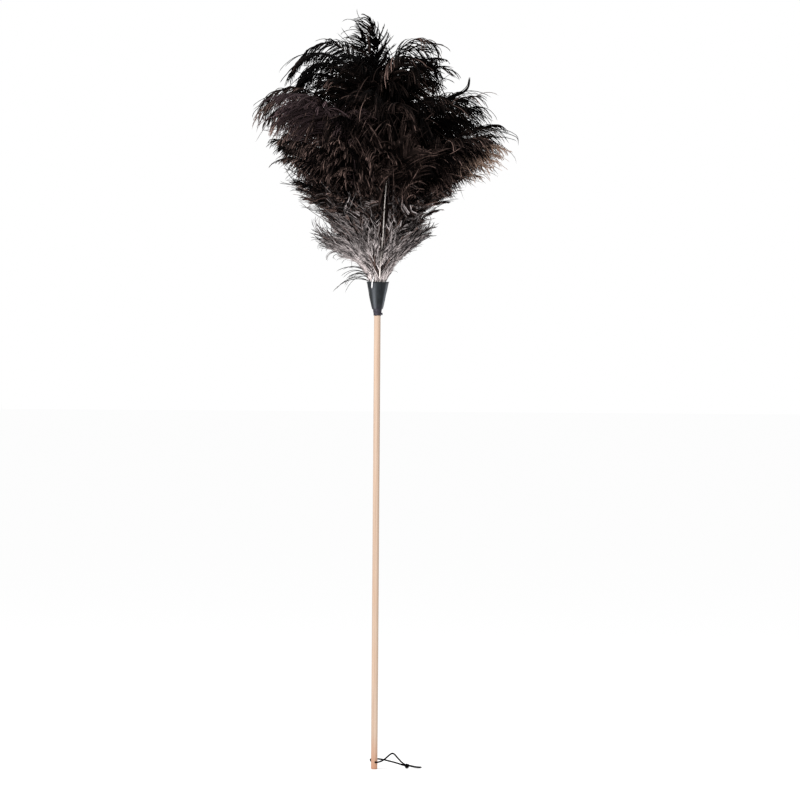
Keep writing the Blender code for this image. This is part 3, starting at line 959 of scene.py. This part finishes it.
def lock_paths(rachis, vane, hand, looks, rng):
    """One path for each lock of barbs: (locks, rings, 3).

    vane is 0 at the vane's start and 1 at the plume's tip, and hand is 1 or -1 for its side. Neighbouring
    locks are alike, so that they lie side by side as in a comb."""
    share = rachis.mouth + (1 - rachis.mouth) * vane
    place, along, side, under = rachis.at(share)
    count = len(vane)
    full = looks["full"]
    start = 0.34 + 0.5 * full
    swell = (start + (1.0 - start) * ease(vane / 0.4)) * (1.0 - 0.45 * rise(vane, 0.7, 0.3))
    length = looks["length"] * swell * (1.0 + 0.12 * drift(vane, hand, rng)) * rng.uniform(0.8, 1.1, count)
    spread = ease(vane / 0.4 + full)
    flare = 20.0 + (looks["flare"] - 20.0) * spread - 24.0 * rise(vane, 0.75, 0.25)
    flare = np.radians(flare + 7.0 * drift(vane, hand, rng) + rng.normal(0.0, 1.6, count))[:, None]
    tilt = looks["tilt"] + 16.0 * drift(vane, hand, rng) * (1.0 - full)
    tilt = np.radians(tilt + rng.normal(0.0, 2.6, count))[:, None]
    outwards = side * hand[:, None] * np.cos(tilt) + under * np.sin(tilt)
    direction = along * np.cos(flare) + outwards * np.sin(flare)
    wander = np.stack([drift(vane, hand, rng) for _ in range(3)], axis=1)
    spin = unit(wander + rng.normal(0.0, 0.15, (count, 3)) + under * hand[:, None] * 1.3)
    turning = looks["curl"] * (1.0 + 0.6 * drift(vane, hand, rng)) * rng.uniform(0.8, 1.2, count)
    turning = (turning * np.where(rng.uniform(0.0, 1.0, count) < 0.06, -1.5, 1.0))[:, None]
    step = (length / (RINGS - 1))[:, None]
    path = [place]
    for ring in range(1, RINGS):
        s = ring / (RINGS - 1)
        pull = looks["droop"] * (0.2 + 1.3 * s) * rise(place[:, 2:], *DROOP_STARTS)
        bend = UNIT_DOWN * pull + UNIT_LEFT * looks["lean"]
        winding = np.cross(spin, direction) * turning * (0.3 + 1.8 * s * s)
        direction = unit(direction + step * (bend + winding))
        path.append(path[-1] + direction * step)
    return np.stack(path, axis=1)


def barb_paths(rachis, looks, rng):
    """Paths of a plume's barbs, and each one's lock; the free barbs come last, each a lock of its own."""
    locks, barbs = looks["locks"], looks["barbs"]
    vane = np.tile((np.arange(locks) + 0.5) / locks, 2) ** looks["low"]
    vane = np.clip(vane + rng.uniform(-0.35, 0.35, len(vane)) / locks, 0.0, 0.998)
    hand = np.repeat((1.0, -1.0), locks)
    paths = lock_paths(rachis, vane, hand, looks, rng)

    lock = np.repeat(np.arange(len(vane)), barbs)
    count = len(lock)
    root_vane = np.clip(vane[lock] + rng.uniform(-0.6, 0.6, count) / locks, 0.0, 1.0)
    root = rachis.at(rachis.mouth + (1 - rachis.mouth) * root_vane)[0]
    size = rng.uniform(0.76, 1.05, count)[:, None, None]
    shape = paths[lock] - paths[lock][:, :1]
    s = ring_shares()
    gather = rng.uniform(0.2, 1.0, count)[:, None, None] * ease(s / 0.8)
    spread = rng.normal(0.0, 1.0, (count, 1, 3)) * LOCK_SPREAD * s**1.4
    joined = root[:, None] + shape * size + gather * (paths[lock][:, :1] - root[:, None]) + spread

    wisps = looks["wisps"]
    free_vane = rng.uniform(0.1, 0.99, wisps)
    free_looks = {**looks, **{name: looks[name] * share for name, share in FREE_BARBS.items()}}
    free = lock_paths(rachis, free_vane, rng.choice((1.0, -1.0), wisps), free_looks, rng)
    paths = np.concatenate([joined, free])
    waves = BARB_WAVE * ease(s / 0.3) * rng.uniform(0.2, 1.6, (len(paths), 1, 1))
    phase = rng.uniform(0.0, 2 * math.pi, (len(paths), 1, 3))
    paths = paths + waves * np.sin(2 * math.pi * rng.uniform(0.8, 2.2, (len(paths), 1, 1)) * s + phase)
    return paths, np.append(lock, len(vane) + np.arange(wisps))


def trim(paths, free, rng):
    """Barbs that reach past the head's outline are shortened, the free ones less at the head's two sides."""
    slack = rng.uniform(*TRIM_SLACK, (len(paths), 1))
    for _ in range(3):
        radius = np.hypot(paths[..., 0], paths[..., 1])
        right = 0.5 + 0.5 * paths[..., 0] / np.maximum(radius, 1e-6)
        limit = np.interp(paths[..., 2], OUTLINE_HEIGHTS, OUTLINE_LEFT) * (1 - right)
        limit = limit + np.interp(paths[..., 2], OUTLINE_HEIGHTS, OUTLINE_RIGHT) * right
        sideways = (2.0 * right - 1.0) ** 2
        over = np.max(radius / (limit * (slack + FREE_REACH * free[:, None] * sideways)), axis=1)
        size = np.clip(1.0 / np.maximum(over, 1.0), SHORTEST_TRIM, 1.0)[:, None, None]
        paths = paths[:, :1] + (paths - paths[:, :1]) * size
    return paths


def clear_of_shaft(paths, shaft, margin):
    """Which barbs leave the front plume's pale shaft in sight."""
    x = np.interp(paths[..., 2], shaft[:, 2], shaft[:, 0])
    y = np.interp(paths[..., 2], shaft[:, 2], shaft[:, 1])
    beside = (paths[..., 2] > SHAFT_SEEN[0]) & (paths[..., 2] < SHAFT_SEEN[1])
    in_front = paths[..., 1] < y - SHAFT_DEPTH
    return ~np.any(beside & (np.abs(paths[..., 0] - x) < margin) & in_front, axis=1)


def barb_colours(paths, lock, looks, rng):
    """A colour for each ring of each barb: pale near the collar, darker with height, browner at the tips; the
    brown is partly painted sheen, and its fading towards the barbs' roots partly painted shade.
    """
    count = len(paths)
    height = paths[:, :1, 2] + 0.35 * (paths[:, :, 2] - paths[:, :1, 2])
    lock_shift = np.clip(rng.normal(0.0, 0.024, lock.max() + 1), -0.034, 0.034)[lock]
    own_shift = rng.normal(0.0, 0.012, count)
    shifted = height + (lock_shift + own_shift)[:, None]
    dark = rise(shifted, looks["dark_from"], DARK_SPAN)[..., None]
    s = ring_shares()
    even = looks["even"]
    # Locks and single barbs turned brown at random: partly the feathers' own brown, partly painted sheen and
    # highlight on lit barbs.
    lock_tone = 2.0 * rng.uniform(0.0, 1.0, lock.max() + 1)[lock][:, None, None] ** 6
    lock_tone = lock_tone + (0.42 - lock_tone) * even
    own_tone = 0.22 + 3.6 * rng.uniform(0.0, 1.0, (count, 1, 1)) ** 4
    own_tone = own_tone * (rng.choice((0.15, 0.5, 1.0, 1.9)) * (1 - even) + even)
    lift = np.interp(paths[..., 2], (0.80, 0.88, 0.95, 1.02), (1.0, 0.75, 0.35, 0.2))[..., None]
    # Browner towards the barbs' tips: partly the feathers' own brown tips, partly painted shade darkening the
    # barbs towards their roots inside the head.
    brown = np.clip(looks["tone"] * lift * lock_tone * own_tone * (0.35 + 0.9 * s), 0.0, 1.0)
    night = BLACK + (BROWN_AND_SHEEN - BLACK) * brown
    far_out = rise(np.hypot(paths[..., 0], paths[..., 1]), *TAN_STARTS)[..., None]
    tan = np.clip(looks["tan"] * far_out * (0.3 + 1.6 * lock_tone), 0.0, 0.9)
    night = night + (TAN - night) * tan
    # Mauve: a painted purple-grey sheen on the vane.
    night = night + (MAUVE_SHEEN - night) * looks["mauve"] * lock_tone
    # Dark strands among the pale down: partly the down's own dark barbs, partly painted shade in the gaps
    # between pale strands.
    grey = rng.choice((0.0, 0.0, 0.0, 0.1, 0.7, 1.0), lock.max() + 1)[lock][:, None, None]
    down = PALE + (TAUPE - PALE) * np.clip(grey + rng.normal(0.0, 0.12, (count, 1, 1)), 0.0, 1.0) ** 0.7
    free = (lock >= 2 * looks["locks"])[:, None, None]
    down = down * (1.0 - 0.5 * rise(s, 0.5, 0.5)) * np.where(free, 0.35, 1.0)
    return down + (night - down) * dark


def strand_mesh(paths, widths, colours, flat, sides=3):
    """Corners, faces, colours and map places of closed strands, each tapering to a point.

    paths is (strands, rings, 3), widths their radii (strands, rings), flat how thin they are across."""
    count, rings = paths.shape[:2]
    tangent = unit(np.gradient(paths, axis=1))
    reference = unit(np.cross(tangent[:, 0], UNIT_DOWN) + 1e-6)[:, None]
    first = unit(reference - tangent * np.sum(reference * tangent, axis=2, keepdims=True) + 1e-9)
    second = np.cross(tangent, first)
    turn = np.arange(sides) * 2 * math.pi / sides
    body = paths[:, :-1, None] + widths[:, :-1, None, None] * (
        first[:, :-1, None] * np.cos(turn)[None, None, :, None]
        + second[:, :-1, None] * (flat * np.sin(turn))[None, None, :, None]
    )
    size = (rings - 1) * sides + 1
    corners = np.concatenate([body.reshape(count, -1, 3), paths[:, -1:]], axis=1)
    shades = np.concatenate([np.repeat(colours[:, :-1], sides, axis=1), colours[:, -1:]], axis=1)

    j = np.arange(sides)
    k = (j + 1) % sides
    last = (rings - 2) * sides
    rows = range(0, last, sides)
    quads = np.vstack([np.column_stack([r + j, r + k, r + sides + k, r + sides + j]) for r in rows])
    tips = np.column_stack([last + j, last + k, np.full(sides, size - 1)])
    root = j[::-1][None, :]
    offset = (np.arange(count) * size)[:, None, None]

    columns = max(1, math.ceil(math.sqrt(count * 6)))
    lines = math.ceil(count / columns)
    cell = np.arange(count)
    left, low = (cell % columns) / columns, (cell // columns) / lines
    across = np.concatenate([np.tile(0.2 + 0.6 * j / (sides - 1), rings - 1), [0.5]]) / columns
    ring = np.concatenate([np.repeat(np.arange(rings - 1), sides), [rings - 1]])
    up = ring / (rings - 1) * 0.9 / lines + 0.05 / lines
    places = np.stack([left[:, None] + across[None], low[:, None] + up[None]], axis=-1)
    return {
        "corners": corners.reshape(-1, 3),
        "shades": shades.reshape(-1, 3),
        "places": places.reshape(-1, 2),
        "quads": (quads[None] + offset).reshape(-1, 4),
        "tips": (tips[None] + offset).reshape(-1, 3),
        "roots": (root[None] + offset).reshape(-1, sides),
    }


def mesh_of(name, parts):
    """One mesh of several lots of strands, with their colours and a map with a cell for each strand."""
    corners = np.vstack([p["corners"] for p in parts])
    shades = np.vstack([p["shades"] for p in parts])
    bands = np.linspace(0.0, 1.0, len(parts) + 1)
    places = np.vstack([p["places"] * (1.0, b - a) + (0.0, a) for p, a, b in zip(parts, bands, bands[1:])])
    lots = []
    base = 0
    for p in parts:
        lots += [p[kind] + base for kind in ("quads", "tips", "roots")]
        base += len(p["corners"])
    loops = np.concatenate([lot.ravel() for lot in lots])
    totals = np.concatenate([np.full(len(lot), lot.shape[1]) for lot in lots])
    starts = np.concatenate([[0], np.cumsum(totals)[:-1]])
    mesh = bpy.data.meshes.new(name)
    mesh.vertices.add(len(corners))
    mesh.vertices.foreach_set("co", corners.astype(np.float32).ravel())
    mesh.loops.add(len(loops))
    mesh.loops.foreach_set("vertex_index", loops.astype(np.int32))
    mesh.polygons.add(len(totals))
    mesh.polygons.foreach_set("loop_start", starts.astype(np.int32))
    mesh.update(calc_edges=True)
    colour = mesh.color_attributes.new("strand_colour", "FLOAT_COLOR", "POINT")
    rgba = np.concatenate([shades, np.ones((len(shades), 1))], axis=1)
    colour.data.foreach_set("color", rgba.astype(np.float32).ravel())
    layer = mesh.uv_layers.new(name="OFBake")
    layer.uv.foreach_set("vector", places[loops].astype(np.float32).ravel())
    mesh.shade_smooth()
    mesh.validate()
    return mesh


def rachis_strand(rachis, looks):
    """The plume's quill and shaft: pale at its foot, brown and then black further up."""
    share = np.linspace(0.0, 1.0, 60)
    path = rachis.at(share)[0][None]
    height = path[0, :, 2]
    foot = QUILL_FOOT_R + (looks["shaft"] - QUILL_FOOT_R) * rise(height, *SHAFT_SWELLS)
    radius = foot * (1.0 - share) ** 0.6 + SHAFT_TIP_R
    brown = rise(height, looks["pale_shaft"], SHAFT_SPAN)[:, None]
    upper = SHAFT_BROWN * (1.0 - 0.85 * rise(share, 0.5, 0.4))[:, None] + BLACK
    return strand_mesh(path, radius[None], (HORN + (upper - HORN) * brown)[None], 1.0, sides=6)


def overhanging_quill():
    """The pale end of a small feather that hangs out over the collar's rim."""
    path = smooth_line(QUILL_ROUTE, QUILL_POINTS)[None]
    share = np.linspace(0.0, 1.0, QUILL_POINTS)
    radius = QUILL_R * (0.5 + 0.5 * ease(share / 0.5)) * (1.0 - 0.25 * rise(share, 0.8, 0.2))
    return strand_mesh(path, radius[None], np.broadcast_to(WHITE, path.shape), BARB_FLATNESS, sides=6)


def curled_tip(rng):
    """A tip that stands up in a hook on the right."""
    s = ring_shares()
    paths = smooth_line(HOOK_ROUTE, RINGS)[None] + rng.normal(0.0, 0.0016, (HOOK_BARBS, 1, 3)) * (1.2 - s)
    paths = paths + rng.uniform(-0.006, 0.0, (HOOK_BARBS, 1, 1)) * s**3 * (0.3, 0.0, 1.0)
    widths = np.full((HOOK_BARBS, RINGS), HOOK_BARB_R) * (1.0 - 0.4 * s[..., 0])
    return strand_mesh(paths, widths, np.broadcast_to(BLACK, paths.shape), BARB_FLATNESS)


def hanging_barbs(count, rng):
    """Single barbs that hang out over the collar's rim on the left."""
    azimuth = np.radians(rng.uniform(165.0, 215.0, count))
    heading = np.stack([np.cos(azimuth), np.sin(azimuth), rng.uniform(0.35, 1.3, count)], axis=1)
    height = rng.uniform(0.712, 0.724, count)
    start = np.stack([HANGING_START_R * np.cos(azimuth), HANGING_START_R * np.sin(azimuth), height], axis=1)
    step = rng.uniform(0.034, 0.062, (count, 1)) / (RINGS - 1)
    sag = rng.uniform(24.0, 44.0, (count, 1))
    heading = unit(heading)
    path = [start]
    for _ in range(1, RINGS):
        heading = unit(heading + step * UNIT_DOWN * sag)
        path.append(path[-1] + heading * step)
    return np.stack(path, axis=1)


def looks_of(node, tier):
    return {**DEFAULT_LOOKS, "beside": COMPANIONS[tier], **TIER_LOOKS[tier], **PLUME_LOOKS.get(node, {})}


def add_plume(node, number, shaft):
    """One plume and its companions as one piece; the companions have the usual shaft and no hanging barbs."""
    tier = node.split("_")[1]
    looks = looks_of(node, tier)
    plain = {**looks, **{name: DEFAULT_LOOKS[name] for name in ("shaft", "pale_shaft")}}
    clear = SHAFT_CLEAR_OWN if node == FRONT_PLUME else SHAFT_CLEAR
    rng = np.random.default_rng(RANDOM_SEED + number)
    parts = []
    for turn, size in (MAIN_PLUME, *looks["beside"]):
        main = (turn, size) == MAIN_PLUME
        swing = math.radians(turn * SECTORS[tier] + looks["turn"])
        rachis = Rachis(node, rng, swing, size, looks)
        paths, lock = barb_paths(rachis, looks, rng)
        paths = trim(paths, lock >= 2 * looks["locks"], rng)
        hanging = looks["hanging"] if main else 0
        if hanging:
            paths = np.concatenate([paths, hanging_barbs(hanging, rng)])
            lock = np.append(lock, lock.max() + 1 + np.arange(hanging))
        paths = hold_in(paths)
        colours = barb_colours(paths, lock, looks, rng)
        s = ring_shares()[..., 0]
        wide = looks["width"] * rng.uniform(0.7, 1.25, (len(paths), 1))
        widths = wide * (1.0 - 0.45 * s) * np.where(s < 0.06, 0.8, 1.0)
        if hanging:
            colours[-hanging:] *= HANGING_SHADE
            widths[-hanging:] *= HANGING_WIDTH
        seen = clear_of_shaft(paths, shaft, clear)
        parts.append(rachis_strand(rachis, looks if main else plain))
        parts.append(strand_mesh(paths[seen], widths[seen], colours[seen], BARB_FLATNESS))
    if node == QUILL_PLUME:
        parts.append(overhanging_quill())
    if node == HOOK_PLUME:
        parts.append(curled_tip(rng))
    name = f"{node}_barbs"
    obj = link(name, mesh_of(name, parts), barb_looks(name))
    slot = "plume_grey" if tier == "base" else "plume_dark"
    seat(obj, BODY, slot, node)


def add_plumes():
    nodes = sorted(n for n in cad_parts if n.startswith("plume_"))
    rng = np.random.default_rng(RANDOM_SEED + nodes.index(FRONT_PLUME))
    looks = looks_of(FRONT_PLUME, "middle")
    shaft = Rachis(FRONT_PLUME, rng, math.radians(looks["turn"]), 1.0, looks).line
    shaft = shaft[np.argsort(shaft[:, 2])]
    for number, node in enumerate(nodes):
        add_plume(node, number, shaft)


# ---- Stage -----------------------------------


def add_stage():
    bm = bmesh.new()
    bmesh.ops.create_grid(bm, x_segments=1, y_segments=1, size=FLOOR_SIZE / 2)
    mesh = mesh_from("floor", bm)
    floor_looks = Looks("pale_floor")
    floor_looks.set(Base_Color=(0.98, 0.98, 0.98, 1.0), Roughness=0.9, Specular_IOR_Level=0.0)
    link("floor", mesh, floor_looks.material)

    world = bpy.data.worlds.new("studio")
    world.use_nodes = True
    background = world.node_tree.nodes["Background"]
    background.inputs["Color"].default_value = (1.0, 1.0, 1.0, 1.0)
    background.inputs["Strength"].default_value = WORLD_LIGHT
    bpy.context.scene.world = world
    bpy.context.scene.view_settings.view_transform = "Standard"

    data = bpy.data.lights.new("key", "AREA")
    data.size = KEY_SIZE
    data.energy = KEY_POWER
    key = link("key", data)
    key.location = KEY_PLACE
    key.rotation_euler = (Vector(KEY_AIM) - key.location).to_track_quat("-Z", "Y").to_euler()


add_camera()
add_cords()
add_stage()
add_dowel()
add_collar()
add_tape()
dress_wires()
add_plumes()
